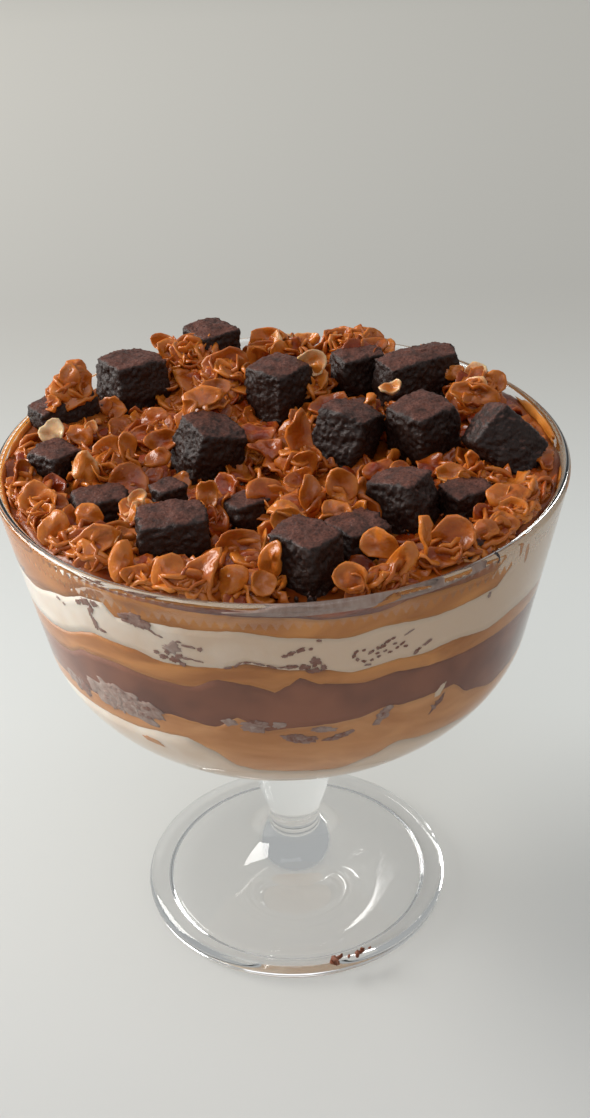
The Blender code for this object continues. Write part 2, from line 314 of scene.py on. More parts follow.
def edge_height(edge, degrees):
    """Height of a layer's edge at a direction, through its listed points, with the waves of soft food."""
    degrees = (degrees + 180.0) % 360.0 - 180.0
    points = [(edge[-1][0] - 360, edge[-1][1]), *edge, (edge[0][0] + 360, edge[0][1])]
    for (start, low), (stop, high) in zip(points, points[1:]):
        if start <= degrees <= stop:
            share = (degrees - start) / (stop - start)
            ease = share * share * (3 - 2 * share)
            height = low + (high - low) * (0.6 * ease + 0.4 * share)
            far = min(1.0, max(0.0, (abs(degrees + 90) - 65) / 25)) if degrees < 90 else 1.0
            ripples = noise.noise(Vector((degrees * 0.55, 0.0, 0.0)))
            rolls = noise.noise(Vector((degrees * 0.09, height * 0.13, 2.0)))
            return height + EDGE_WAVES * ripples + FAR_WAVES * far * rolls
    return points[0][1]


def filling(name, below, above, wall_rows, material, slot, node):
    """A layer from one edge to the next, meeting the glass all round."""
    def inner(edge, share):
        mean = sum(height for _, height in edge) / len(edge) - MIDDLE_SINK

        def place(angle):
            height = mean + (edge_height(edge, math.degrees(angle)) - mean) * share * share
            return share * wall_radius(height, PRESSED_IN), height
        return place

    def wall(share):
        def place(angle):
            low = edge_height(below, math.degrees(angle))
            high = edge_height(above, math.degrees(angle))
            height = low + (high - low) * share
            return wall_radius(height, PRESSED_IN), height
        return place

    def floor(share):
        radius, depth, _, _ = cup_shape(PRESSED_IN)

        def place(angle):
            top = edge_height(above, math.degrees(angle))
            sweep = math.acos((BELLY_HEIGHT - top) / depth) * share
            return radius * math.sin(sweep), BELLY_HEIGHT - depth * math.cos(sweep)
        return place

    if below is None:
        rings = [floor(row / wall_rows) for row in range(wall_rows + 1)]
    else:
        rings = [inner(below, share) for share in (0.0, *INNER_SHARES[::-1])]
        rings += [wall(row / wall_rows) for row in range(wall_rows + 1)]
    rings += [inner(above, share) for share in (*INNER_SHARES, 0.0)]
    add_piece(name, turned(rings, WALL_STEPS), material, slot, node)


def whipped_cream():
    """Dairy cream, whipped and spooned: off-white, with painted shade that turns it darker tan from the left
    side towards the middle, damp satin.
    """
    material, tree = new_material("whipped_dairy_cream")
    places = add_node(tree, "ShaderNodeTexCoord").outputs["Object"]
    # Painted shade: along X the colour goes from pale cream at the left, where the window is, to a darker tan
    # towards the middle, with a noisy edge.
    side = add_node(tree, "ShaderNodeSeparateXYZ", Vector=places).outputs["X"]
    painted_shade_wobble = add_node(tree, "ShaderNodeTexNoise", Vector=places, Scale=1 / (24 * MM),
                     Detail=3.0).outputs["Fac"]
    spread = add_node(tree, "ShaderNodeMapRange", Value=painted_shade_wobble, From_Min=0.3, From_Max=0.7, To_Min=-30 * MM,
                      To_Max=30 * MM).outputs[0]
    across = add_node(tree, "ShaderNodeMath", i0=side, i1=spread).outputs[0]
    painted_shade_share = add_node(tree, "ShaderNodeMapRange", Value=across, From_Min=-85 * MM,
                       From_Max=-10 * MM).outputs[0]
    colour = add_node(tree, "ShaderNodeMix", {"data_type": "RGBA"}, i0=painted_shade_share, i6=linear("#f6e8d8"),
                      i7=linear("#dfc2a7")).outputs[2]
    bubbles = add_node(tree, "ShaderNodeTexNoise", Vector=places, Scale=1 / (1.6 * MM),
                       Detail=2.0).outputs["Fac"]
    bump = add_node(tree, "ShaderNodeBump", Strength=0.3, Distance=0.3 * MM, Height=bubbles)
    shader = add_node(tree, "ShaderNodeBsdfPrincipled", Base_Color=colour, Roughness=0.5,
                      Specular_IOR_Level=0.15,
                      Subsurface_Weight=0.25, Subsurface_Radius=(1.0, 0.75, 0.5), Subsurface_Scale=3 * MM,
                      Normal=bump.outputs[0])
    add_node(tree, "ShaderNodeOutputMaterial", Surface=shader.outputs[0])
    return material


def soft_caramel():
    """Milk caramel, poured warm: brown-gold, streaked where thicker and thinner caramel folded together."""
    material, tree = new_material("poured_milk_caramel")
    places = add_node(tree, "ShaderNodeTexCoord").outputs["Object"]
    flat = add_node(tree, "ShaderNodeMapping", Vector=places, Scale=(1.0, 1.0, 2.6)).outputs[0]
    folds = add_node(tree, "ShaderNodeTexNoise", Vector=flat, Scale=1 / (30 * MM), Detail=4.0,
                     Distortion=0.8).outputs["Fac"]
    folded = add_node(tree, "ShaderNodeMapRange", Value=folds, From_Min=0.35, From_Max=0.65).outputs[0]
    height = add_node(tree, "ShaderNodeSeparateXYZ", Vector=places).outputs["Z"]
    upper = add_node(tree, "ShaderNodeMapRange", Value=height, From_Min=165 * MM,
                     From_Max=185 * MM).outputs[0]
    pale = add_node(tree, "ShaderNodeMix", {"data_type": "RGBA"}, i0=upper, i6=linear("#d7965c"),
                    i7=linear("#d48b40")).outputs[2]
    deep = add_node(tree, "ShaderNodeMix", {"data_type": "RGBA"}, i0=upper, i6=linear("#bf7b3e"),
                    i7=linear("#ae6720")).outputs[2]
    colour = add_node(tree, "ShaderNodeMix", {"data_type": "RGBA"}, i0=folded, i6=deep, i7=pale).outputs[2]
    grain = add_node(tree, "ShaderNodeTexNoise", Vector=places, Scale=1 / (2.5 * MM),
                     Detail=2.0).outputs["Fac"]
    bump = add_node(tree, "ShaderNodeBump", Strength=0.15, Distance=0.3 * MM, Height=grain)
    shader = add_node(tree, "ShaderNodeBsdfPrincipled", Base_Color=colour, Roughness=0.3,
                      Specular_IOR_Level=0.25,
                      Subsurface_Weight=0.2, Subsurface_Radius=(1.0, 0.5, 0.25), Subsurface_Scale=3 * MM,
                      Normal=bump.outputs[0])
    add_node(tree, "ShaderNodeOutputMaterial", Surface=shader.outputs[0])
    return material


def chocolate_mousse():
    """Chocolate mousse, beaten full of air: dull milk-chocolate brown, darker where it is dense."""
    material, tree = new_material("aerated_chocolate_mousse")
    places = add_node(tree, "ShaderNodeTexCoord").outputs["Object"]
    dense = add_node(tree, "ShaderNodeTexNoise", Vector=places, Scale=1 / (22 * MM),
                     Detail=3.0).outputs["Fac"]
    packed = add_node(tree, "ShaderNodeMapRange", Value=dense, From_Min=0.35, From_Max=0.7).outputs[0]
    colour = add_node(tree, "ShaderNodeMix", {"data_type": "RGBA"}, i0=packed, i6=linear("#93583c"),
                      i7=linear("#6f3e2a")).outputs[2]
    bubbles = add_node(tree, "ShaderNodeTexNoise", Vector=places, Scale=1 / (3.5 * MM),
                       Detail=2.0).outputs["Fac"]
    bump = add_node(tree, "ShaderNodeBump", Strength=0.15, Distance=0.3 * MM, Height=bubbles)
    shader = add_node(tree, "ShaderNodeBsdfPrincipled", Base_Color=colour, Roughness=0.55,
                      Specular_IOR_Level=0.15,
                      Normal=bump.outputs[0])
    add_node(tree, "ShaderNodeOutputMaterial", Surface=shader.outputs[0])
    return material


cream, caramel, mousse = whipped_cream(), soft_caramel(), chocolate_mousse()
filling("bottom_cream", None, BOTTOM_CREAM_TOP, 14, cream, "whipped_cream", "cream_bottom")
filling("lower_caramel", BOTTOM_CREAM_TOP, LOWER_CARAMEL_TOP, 7, caramel, "soft_caramel", "caramel_lower")
filling("mousse", LOWER_CARAMEL_TOP, MOUSSE_TOP, 6, mousse, "chocolate_mousse", "chocolate_layer")
filling("middle_caramel", MOUSSE_TOP, MIDDLE_CARAMEL_TOP, 4, caramel, "soft_caramel", "caramel_middle")
filling("upper_cream", MIDDLE_CARAMEL_TOP, UPPER_CREAM_TOP, 5, cream, "whipped_cream", "cream_upper")
filling("upper_caramel", UPPER_CREAM_TOP, UPPER_CARAMEL_TOP, 4, caramel, "soft_caramel", "caramel_upper")


# ---------------------------------------------------------------------------------------------------
# What shows at the wall. Brownie bits sunk in the layers and pressed flat on the glass, dark crumbs in the
# upper cream, and smears of caramel and cream left by the spoon near the rim.
# ---------------------------------------------------------------------------------------------------

PATCH_STEPS = 44
PATCH_THICK = 0.9
FILM_DEPTH = WALL - 0.4

# Each patch: direction, height, half width, half height, turn from level, depth step, milkiness 0 to 1.
CREAM_CRUMBS = (
    (-131, 203.4, 2.3, 1.8, 0, 1, 0.25), (-128.6, 204.4, 1.7, 1.5, 20, 1, 0.35),
    (-133.2, 201.8, 1.5, 1.1, 40, 1, 0.4), (-129.8, 201, 1.1, 1.8, 0, 1, 0.3),
    (-130.4, 198.4, 0.6, 2.4, 0, 1, 0.5), (-129.8, 194.4, 1.1, 2.8, 5, 1, 0.45),
    (-128.2, 192.2, 1.8, 0.7, -10, 1, 0.35), (-140, 197.6, 1.2, 0.8, 0, 1, 0.8),
    (-138.4, 196.3, 0.8, 0.6, 0, 1, 0.8), (-119.6, 202.6, 5.2, 3.0, -8, 1, 0.45),
    (-121.6, 203.8, 2.4, 1.3, 10, 2, 0.3), (-117.4, 202.6, 2.4, 1.6, 0, 2, 0.4),
    (-116.2, 199.9, 2.3, 0.5, -38, 1, 0.4), (-114.6, 198.3, 1.2, 0.4, -20, 1, 0.5),
    (-112.4, 193.6, 3.4, 2.4, 10, 1, 0.9), (-116, 190.2, 1.2, 1.0, 0, 2, 0.45),
    (-114.7, 188.5, 1.6, 1.1, 20, 2, 0.3), (-113.6, 191.4, 1.0, 1.2, 0, 2, 0.4),
    (-112.2, 188.2, 1.9, 1.6, 0, 2, 0.2), (-111.2, 190.2, 1.5, 1.2, 30, 2, 0.3),
    (-110.7, 186.8, 1.1, 0.9, 0, 2, 0.35), (-109.4, 189.8, 2.0, 0.5, 0, 2, 0.3),
    (-107.4, 189.4, 1.8, 0.35, -8, 2, 0.35), (-109, 195.8, 2.3, 0.5, -6, 2, 0.5),
    (-106.7, 195.2, 1.0, 0.9, 0, 2, 0.5), (-110.8, 197.2, 1.0, 0.5, 0, 2, 0.6),
    (-101.6, 187.8, 1.6, 0.4, 18, 2, 0.35), (-99.8, 189.4, 1.8, 0.4, 42, 2, 0.35),
    (-98, 190.8, 1.5, 0.4, 4, 2, 0.35), (-95.8, 190.3, 1.9, 0.4, -16, 2, 0.35),
    (-93.4, 189.0, 1.9, 0.4, -22, 2, 0.35), (-91.2, 188.6, 1.6, 0.4, 8, 2, 0.4),
    (-89.4, 188.8, 2.0, 0.8, 0, 2, 0.15), (-89.6, 195.2, 1.5, 0.9, 20, 2, 0.1),
    (-87.7, 196.4, 1.6, 0.8, 26, 2, 0.1), (-90.8, 193.8, 1.0, 0.7, 0, 2, 0.2),
    (-85.9, 196.6, 0.7, 0.6, 0, 2, 0.3), (-84.4, 200.2, 0.8, 0.6, 0, 2, 0.15),
    (-87, 188.4, 1.6, 1.5, 0, 2, 0.1), (-85, 190.6, 1.8, 2.3, 0, 2, 0.1),
    (-85.4, 186.2, 2.2, 1.2, 0, 2, 0.15), (-83.5, 187.5, 1.1, 1.3, 0, 2, 0.2),
    (-77.3, 192.6, 0.9, 0.6, 30, 2, 0.1), (-77.7, 190.8, 0.6, 0.9, 0, 2, 0.1),
    (-77, 189, 0.7, 0.8, 0, 2, 0.2), (-75.6, 187.6, 0.9, 0.5, -20, 2, 0.1),
    (-74, 187.5, 0.6, 0.6, 0, 2, 0.2), (-75.8, 192.9, 0.6, 0.5, 0, 2, 0.2),
    (-74.3, 191.4, 1.2, 0.7, 30, 2, 0.1), (-73, 190.2, 0.7, 0.6, 0, 2, 0.2),
    (-72, 193, 1.1, 0.8, 20, 2, 0.1), (-71.2, 194.7, 1.2, 0.7, 20, 2, 0.1),
    (-70, 195.7, 0.9, 0.5, 10, 2, 0.2), (-73, 192.6, 0.6, 0.8, 0, 2, 0.2),
    (-71.5, 190.5, 0.6, 0.5, 0, 2, 0.3), (-70.4, 189.5, 0.8, 0.5, 0, 2, 0.2),
    (-69, 190.8, 0.7, 0.7, 0, 2, 0.1), (-68, 192.1, 1.0, 0.5, 40, 2, 0.1),
    (-69.6, 192.9, 0.7, 0.5, 0, 2, 0.2), (-67.2, 190.3, 0.9, 0.5, -20, 2, 0.2),
    (-72.7, 188.5, 0.6, 0.5, 0, 2, 0.2), (-74.8, 185.5, 1.1, 0.4, 0, 2, 0.4),
    (-66.8, 196.5, 1.9, 0.4, 30, 2, 0.6), (-64.4, 186.4, 1.7, 0.8, 48, 2, 0.25),
    (-62.3, 188.8, 1.9, 0.6, 26, 2, 0.3), (-48, 199, 0.8, 1.4, 0, 2, 0.6),
)
SUNK_BROWNIE = (
    (-130, 157.4, 14.0, 7.4, -10, 1, 1.0), (-127.5, 160.4, 9.5, 3.8, -12, 2, 0.75),
    (-121, 158.8, 5.0, 3.9, -6, 2, 0.7), (-132.5, 155.5, 3.4, 4.4, 0, 2, 0.8),
    (-126.8, 156.2, 3.0, 3.2, 0, 2, 0.72), (-122.8, 154.8, 3.4, 1.8, 0, 2, 0.78),
    (-137.6, 157.8, 2.6, 3.4, 0, 2, 0.88), (-129.4, 157.4, 0.6, 2.8, 0, 3, 1.0),
    (-125, 155.6, 0.5, 2.4, 10, 3, 1.0), (-122.4, 160.6, 2.6, 0.5, 0, 3, 0.9),
    (-97.6, 159.4, 4.6, 3.2, 4, 1, 0.62), (-92.6, 160.2, 2.4, 1.6, 0, 1, 0.85),
    (-102.8, 160.6, 2.8, 1.8, 10, 1, 0.85), (-88.4, 152.8, 5.8, 2.2, -10, 2, 0.4),
    (-80.6, 151.8, 4.6, 1.1, 9, 2, 0.3), (-77.8, 153.4, 2.2, 1.1, 14, 1, 0.6),
    (-83.6, 156.6, 4.2, 1.4, -6, 1, 0.75), (-88.6, 153.2, 3.0, 0.7, -8, 3, 0.6),
    (-70.2, 159.2, 3.4, 2.4, 58, 1, 0.55), (-71.6, 155.6, 1.4, 1.6, 0, 1, 0.65),
    (-57, 155, 4.6, 0.8, 54, 1, 0.2),
)
CARAMEL_SMEARS = (
    (-123, 141.2, 4.2, 1.6, -14, 1, 0), (165, 214.1, 24, 2.6, 0, 1, 0), (-172, 214.2, 22, 2.4, 0, 2, 0),
    (148, 213.6, 14, 2.2, 0, 3, 0), (14, 213.6, 20, 2.8, 0, 1, 0), (-12, 213.2, 12, 2.2, 0, 2, 0),
    (-37.5, 207.5, 1.0, 4.2, 8, 1, 0), (-72, 213.2, 5.0, 1.0, 12, 1, 0), (-152, 213.6, 14, 1.9, 0, 1, 0),
)
CREAM_SMEARS = (
    (38, 214, 11, 2.4, 0, 1, 0), (-56.8, 161.6, 3.4, 1.5, 62, 1, 0), (-27, 212.6, 16, 3.0, 0, 1, 0),
)
# The milky film that the spoon left between the caramel and the lip at the front.
LIP_FILM = ((-76, 213.7, 46, 1.7, 0.6, 1, 0.9),)


def broken_up(listing, draw):
    """Adds small clots of other tones over each large bit."""
    clots = []
    for direction, height, wide, tall, turn, step_out, milky in listing:
        lean = math.sin(math.radians(turn))
        for _ in range(int(wide * 1.8) if wide > 3 else 0):
            off, way = 0.75 * math.sqrt(draw.random()), draw.uniform(0, math.tau)
            clots.append((direction + math.degrees(off * wide * math.cos(way) / BELLY_RADIUS),
                          height + off * tall * math.sin(way) + off * wide * math.cos(way) * lean,
                          draw.uniform(0.5, 1.9), draw.uniform(0.4, 1.1), draw.uniform(-60, 60), step_out + 1,
                          min(1.0, max(0.0, milky + draw.uniform(-0.5, 0.35)))))
    return tuple(listing) + tuple(clots)


def far_side(draw, clusters, low, high, size):
    """Bits round the sides and back, in small clusters, since the layers hold them all the way round."""
    bits = []
    for _ in range(clusters):
        direction, height = draw.uniform(-35, 215), draw.uniform(low, high)
        for _ in range(draw.randint(2, 6)):
            bits.append((direction + draw.gauss(0, 2.2), height + draw.gauss(0, 1.6),
                         size * draw.uniform(0.4, 1.4), size * draw.uniform(0.3, 0.9), draw.uniform(-50, 50),
                         draw.randint(1, 3), draw.uniform(0.1, 0.9)))
    return tuple(bits)


def patches_on_glass(listing, ragged):
    """Closed flat blobs held against the glass, each with its outline torn and its milkiness as tone."""
    bm = bmesh.new()
    tone_layer = bm.verts.layers.float.new("tone")
    for seed, (direction, height, wide, tall, turn, step_out, milky) in enumerate(listing, 1):
        lean, front = math.radians(turn), FILM_DEPTH - 0.12 * step_out
        rows = []
        for share, depth in ((0.0, 0.0), (0.55, 0.0), (0.94, 0.0), (1.0, 0.3), (0.8, 0.9), (0.0, 0.9)):
            row = []
            for step in range(PATCH_STEPS if share else 1):
                angle = math.tau * step / PATCH_STEPS
                around = Vector((math.cos(angle), math.sin(angle), seed * 3.0))
                torn = noise.noise(around * 1.3) + 0.8 * noise.noise(around * 4.1)
                torn += 0.5 * noise.noise(around * 9.0)
                reach = share * (1.0 + ragged * torn)
                along, up = reach * wide * math.cos(angle), reach * tall * math.sin(angle)
                z = height + along * math.sin(lean) + up * math.cos(lean)
                radius = wall_radius(z, front + depth * PATCH_THICK)
                turned_by = math.radians(direction) + (along * math.cos(lean) - up * math.sin(lean)) / radius
                place = Vector((radius * math.cos(turned_by), radius * math.sin(turned_by), z)) * MM
                row.append(bm.verts.new(place))
                row[-1][tone_layer] = milky
            rows.append(row)
        for low, high in zip(rows, rows[1:]):
            for corners in quads_between(low, high, PATCH_STEPS):
                bm.faces.new(corners)
    bmesh.ops.recalc_face_normals(bm, faces=bm.faces[:])
    return bm


def soaked_brownie():
    """Brownie soaked in cream and caramel: dull brown crumb, greyed over by the milky film on the glass."""
    material, tree = new_material("cream_soaked_brownie")
    places = add_node(tree, "ShaderNodeTexCoord").outputs["Object"]
    tone = add_node(tree, "ShaderNodeAttribute", {"attribute_name": "tone"}).outputs["Fac"]
    clots = add_node(tree, "ShaderNodeTexNoise", Vector=places, Scale=1 / (2.4 * MM), Detail=4.0,
                     Roughness=0.65).outputs["Fac"]
    uneven = add_node(tree, "ShaderNodeMath", {"operation": "MULTIPLY_ADD"}, i0=clots, i1=1.7,
                      i2=tone).outputs[0]
    milky = add_node(tree, "ShaderNodeMapRange", Value=uneven, From_Min=0.85, From_Max=2.2).outputs[0]
    colour = add_node(tree, "ShaderNodeMix", {"data_type": "RGBA"}, i0=milky, i6=linear("#7c4630"),
                      i7=linear("#b7a195")).outputs[2]
    bump = add_node(tree, "ShaderNodeBump", Strength=0.4, Distance=0.4 * MM, Height=clots)
    shader = add_node(tree, "ShaderNodeBsdfPrincipled", Base_Color=colour, Roughness=0.5,
                      Specular_IOR_Level=0.2,
                      Normal=bump.outputs[0])
    add_node(tree, "ShaderNodeOutputMaterial", Surface=shader.outputs[0])
    return material


soaked = soaked_brownie()
draw = random.Random(3)
crumb_bits = CREAM_CRUMBS + far_side(draw, 20, 187, 197, 1.4)
brownie_patches = broken_up(SUNK_BROWNIE + far_side(draw, 9, 150, 160, 3.6), draw)
add_piece("cream_crumbs", patches_on_glass(crumb_bits, 0.5), soaked, "baked_brownie")
add_piece("sunk_brownie", patches_on_glass(brownie_patches, 0.45), soaked, "baked_brownie")
add_piece("lip_film", patches_on_glass(LIP_FILM, 0.12), soaked, "whipped_cream")
add_piece("caramel_smears", patches_on_glass(CARAMEL_SMEARS, 0.3), caramel, "soft_caramel")
add_piece("cream_smears", patches_on_glass(CREAM_SMEARS, 0.35), cream, "whipped_cream")


# ---------------------------------------------------------------------------------------------------
# Caramel bed of the heap. Warm caramel poured over the top layer, thick and glossy, which holds the
# flakes and cubes. It climbs the glass at the left and right and rises in lumps under each cluster.
# ---------------------------------------------------------------------------------------------------

BED_MIDDLE = 207.5
BED_THICK = 9.0
BED_TOP = 217.0
BED_STEPS = 260
BED_ROWS = 52
# Lumps under the clusters of flakes, as (x, y, spread, rise).
BED_LUMPS = (
    (-84, 38, 11, 10), (-36, 74, 16, 10), (-22, 60, 12, 8), (-48, 26, 11, 7), (-68, -12, 13, 6),
    (-86, -45, 11, 4), (-66, -66, 14, 5), (-34, -92, 12, 5), (-12, -76, 10, 6), (4, -60, 9, 6),
    (20, -46, 10, 8), (-6, -40, 11, 6), (6, -4, 8, 8), (14, 54, 8, 10), (0, 92, 14, 8), (32, 92, 16, 8),
    (80, 42, 11, 7), (72, -27, 11, 5), (86, -54, 11, 5), (58, -78, 12, 5), (36, -96, 11, 4),
    (-28, 24, 8, 10), (40, 28, 9, 6), (-51, -46, 6, 5),
)


def bed_height(x, y):
    """Height of the caramel bed above a place, in millimetres."""
    angle = math.degrees(math.atan2(y, x))
    edge = edge_height(UPPER_CARAMEL_TOP, angle)
    share = min(1.0, math.hypot(x, y) / wall_radius(edge, WALL))
    height = edge + (BED_MIDDLE - edge) * (1 - share * share)
    for place_x, place_y, spread, rise in BED_LUMPS:
        height += rise * math.exp(-((x - place_x) ** 2 + (y - place_y) ** 2) / (spread * spread))
    folds = noise.noise(Vector((x / 9, y / 9, 3.0))) + 0.5 * noise.noise(Vector((x / 4, y / 4, 7.0)))
    return min(BED_TOP, height + 1.6 * folds * (1 - share**6))


def bed_ring(share):
    def place(angle):
        edge = edge_height(UPPER_CARAMEL_TOP, math.degrees(angle)) + 0.2
        radius = share * wall_radius(edge, PRESSED_IN)
        if share == 1.0:
            return radius, edge
        return radius, bed_height(radius * math.cos(angle), radius * math.sin(angle))
    return place


def caramel_glaze():
    """Dark toffee caramel, boiled and poured: deep amber, clear enough to glow where thin, wet gloss."""
    material, tree = new_material("boiled_toffee_caramel")
    places = add_node(tree, "ShaderNodeTexCoord").outputs["Object"]
    depth = add_node(tree, "ShaderNodeTexNoise", Vector=places, Scale=1 / (14 * MM),
                     Detail=3.0).outputs["Fac"]
    thick = add_node(tree, "ShaderNodeMapRange", Value=depth, From_Min=0.35, From_Max=0.7).outputs[0]
    colour = add_node(tree, "ShaderNodeMix", {"data_type": "RGBA"}, i0=thick, i6=linear("#6d2804"),
                      i7=linear("#a6581a")).outputs[2]
    grain = add_node(tree, "ShaderNodeTexNoise", Vector=places, Scale=1 / (2.2 * MM),
                     Detail=3.0).outputs["Fac"]
    bump = add_node(tree, "ShaderNodeBump", Strength=0.5, Distance=0.6 * MM, Height=grain)
    shader = add_node(tree, "ShaderNodeBsdfPrincipled", Base_Color=colour, Roughness=0.3,
                      Specular_IOR_Level=0.35,
                      Subsurface_Weight=0.2, Subsurface_Radius=(1.0, 0.45, 0.15), Subsurface_Scale=2 * MM,
                      Normal=bump.outputs[0])
    add_node(tree, "ShaderNodeOutputMaterial", Surface=shader.outputs[0])
    return material


bed_rings = [fixed_ring(radius, BED_MIDDLE - BED_THICK) for radius in (0.0, 50.0, 90.0)]
bed_rings += [bed_ring((BED_ROWS - row) / BED_ROWS) for row in range(BED_ROWS + 1)]
add_piece("caramel_bed", turned(bed_rings, BED_STEPS), caramel_glaze(), "toffee_glaze", "toffee_flake_heap")


# ---------------------------------------------------------------------------------------------------
# Brownie cubes. Dark chocolate brownie baked in a tray and cut by hand: a thin, dry, cracked crust on
# top, and sides of open, moist crumb with pores where the knife tore it. Each is pressed into the heap.
# ---------------------------------------------------------------------------------------------------

CRUMB_STEP = 0.72
CRUMB_DEPTH = 0.7
PORE_SPACING = 2.6
PORE_DEPTH = 1.1
SWELLING = 1.12
CRUST_LEAST_UP = 0.55


def crumbled(place, normal, seed):
    """How far the torn surface of a cube stands out or in at a place, in millimetres."""
    shift = Vector((seed * 17.0, seed * 5.0, 0.0))
    broad = noise.noise((place + shift) / 6.0)
    fine = noise.turbulence((place + shift) / 1.5, 3, False)
    nearest = noise.voronoi((place + shift) / PORE_SPACING)[0][0]
    pore = max(0.0, 1.0 - nearest * 2.4)
    crust = max(0.0, min(1.0, (normal.z - CRUST_LEAST_UP) * 5.0))
    torn = 0.5 + 0.9 * broad + CRUMB_DEPTH * fine - PORE_DEPTH * pore
    cracked = 0.4 + 0.6 * broad + 0.35 * fine - 0.5 * max(0.0, 1.0 - abs(fine - 0.1) * 9.0)
    return torn * (1 - crust) + cracked * crust


def baked_brownie():
    """Fudge brownie, baked and cut: almost black damp crumb with small glints, red-brown papery crust."""
    material, tree = new_material("baked_fudge_brownie")
    places = add_node(tree, "ShaderNodeTexCoord").outputs["Object"]
    facing_way = add_node(tree, "ShaderNodeNewGeometry").outputs["Normal"]
    up = add_node(tree, "ShaderNodeSeparateXYZ", Vector=facing_way).outputs["Z"]
    patches = add_node(tree, "ShaderNodeTexNoise", Vector=places, Scale=1 / (5 * MM),
                       Detail=4.0).outputs["Fac"]
    crumbs = add_node(tree, "ShaderNodeTexNoise", Vector=places, Scale=1 / (0.9 * MM), Detail=3.0,
                      Roughness=0.7).outputs["Fac"]
    uneven = add_node(tree, "ShaderNodeMath", {"operation": "MULTIPLY_ADD"}, i0=patches, i1=1.1,
                      i2=up).outputs[0]
    crust = add_node(tree, "ShaderNodeMapRange", Value=uneven, From_Min=1.2, From_Max=1.6).outputs[0]
    dry = add_node(tree, "ShaderNodeMapRange", Value=crumbs, From_Min=0.3, From_Max=0.7).outputs[0]
    crumb_colour = add_node(tree, "ShaderNodeMix", {"data_type": "RGBA"}, i0=dry, i6=linear("#170c08"),
                            i7=linear("#38221a")).outputs[2]
    crust_colour = add_node(tree, "ShaderNodeMix", {"data_type": "RGBA"}, i0=dry, i6=linear("#40201a"),
                            i7=linear("#7c4c3d")).outputs[2]
    colour = add_node(tree, "ShaderNodeMix", {"data_type": "RGBA"}, i0=crust, i6=crumb_colour,
                      i7=crust_colour).outputs[2]
    damp = add_node(tree, "ShaderNodeMapRange", Value=crumbs, From_Min=0.3, From_Max=0.7, To_Min=0.6,
                    To_Max=0.24).outputs[0]
    bump = add_node(tree, "ShaderNodeBump", Strength=0.9, Distance=0.5 * MM, Height=crumbs)
    shader = add_node(tree, "ShaderNodeBsdfPrincipled", Base_Color=colour, Roughness=damp,
                      Specular_IOR_Level=0.38,
                      Normal=bump.outputs[0])
    add_node(tree, "ShaderNodeOutputMaterial", Surface=shader.outputs[0])
    return material


def crumbly_cube(node, seed, material):
    """Takes the cut block, gives it an even skin and crumbles it."""
    rough = bpy.data.meshes.new("block")
    bm = bmesh.new()
    bm.from_mesh(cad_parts[node].data)
    bmesh.ops.remove_doubles(bm, verts=bm.verts[:], dist=0.01 * MM)
    middle = sum((vertex.co for vertex in bm.verts), Vector()) / len(bm.verts)
    for vertex in bm.verts:
        vertex.co = middle + (vertex.co - middle) * SWELLING
    bm.to_mesh(rough)
    bm.free()
    block = bpy.data.objects.new("block", rough)
    bpy.context.scene.collection.objects.link(block)
    skin = block.modifiers.new("skin", "REMESH")
    skin.mode = "VOXEL"
    skin.voxel_size = CRUMB_STEP * MM
    bm = bmesh.new()
    bm.from_object(block, bpy.context.evaluated_depsgraph_get())
    bpy.data.objects.remove(block, do_unlink=True)
    bmesh.ops.smooth_vert(bm, verts=bm.verts[:], factor=0.3, use_axis_x=True, use_axis_y=True,
                          use_axis_z=True)
    bm.normal_update()
    moves = [vertex.normal * crumbled(vertex.co / MM, vertex.normal, seed) * MM for vertex in bm.verts]
    for vertex, move in zip(bm.verts, moves):
        vertex.co += move
    add_piece(node.replace("brownie", "brownie_cube"), bm, material, "baked_brownie", node)


brownie_nodes = sorted(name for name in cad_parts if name.startswith("brownie"))
brownie_material = baked_brownie()
for number, node in enumerate(brownie_nodes, 1):
    crumbly_cube(node, number, brownie_material)


# ---------------------------------------------------------------------------------------------------
# Toffee flakes. Breakfast flakes stirred into boiled toffee: thin shallow cups with a thicker rim,
# glazed all over, stuck together in clusters. The clusters that stand up are placed one flake at a time.
# ---------------------------------------------------------------------------------------------------

FLAKE_AROUND = 16
# From a flake's middle to its rim: share of the way out, and half the thickness there as a share.
FLAKE_SIDES = ((0.0, 0.40), (0.34, 0.40), (0.64, 0.42), (0.86, 0.56), (0.97, 0.46), (1.0, 0.0))
FLAKE_THICK = 1.5
FLAKE_CRUMPLE = 2.4
FLAKE_LENGTHS = (9.0, 15.0)
